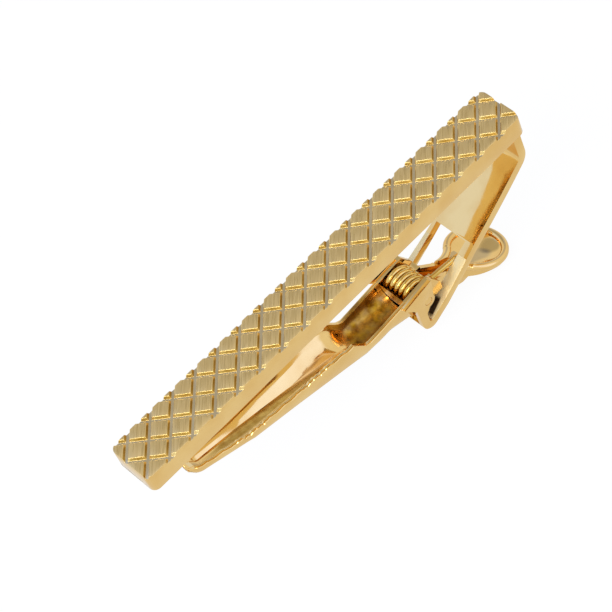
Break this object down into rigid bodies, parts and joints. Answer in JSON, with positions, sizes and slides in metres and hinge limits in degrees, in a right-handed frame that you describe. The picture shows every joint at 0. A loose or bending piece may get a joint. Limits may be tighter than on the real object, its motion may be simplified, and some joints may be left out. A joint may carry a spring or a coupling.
{
  "type": "tie clip",
  "caption": "Slim tie clip: a diamond-cut front bar, a bent strap behind it, and a sprung clamp lever with a toothed jaw and a finger tab.",
  "frame": {"origin": "middle of the decorated front face of the bar, on the plane of its diamond tops", "axes": "+X along the bar from its free end to the end that carries the strap, +Z out of the decorated face, +Y across the bar"},
  "size_m": [0.0548, 0.0072, 0.0184],
  "materials": {
    "front_bar": "gold-plated, polished sides, finely brushed cut face",
    "back_strap": "gold-plated, polished",
    "lever": "gold-plated, polished",
    "hinge_pin": "gold-plated, polished",
    "torsion_spring": "gold-plated spring wire"
  },
  "bodies": {
    "clip_frame": {"front_bar": "front_bar", "back_strap": "back_strap", "hinge_pin": "hinge_pin"},
    "clamp_lever": {"lever": "lever", "torsion_spring": "torsion_spring"}
  },
  "joints": [
    {"name": "lever_pivot", "type": "hinge", "parent": "clip_frame", "child": "clamp_lever", "pos_m": [0.00902, 0, -0.01235], "axis": [0, -1, 0], "range_deg": [0, 12], "stiffness_Nm_per_rad": 0.05, "springref_deg": -28.65, "deforming": ["torsion_spring"]}
  ]
}
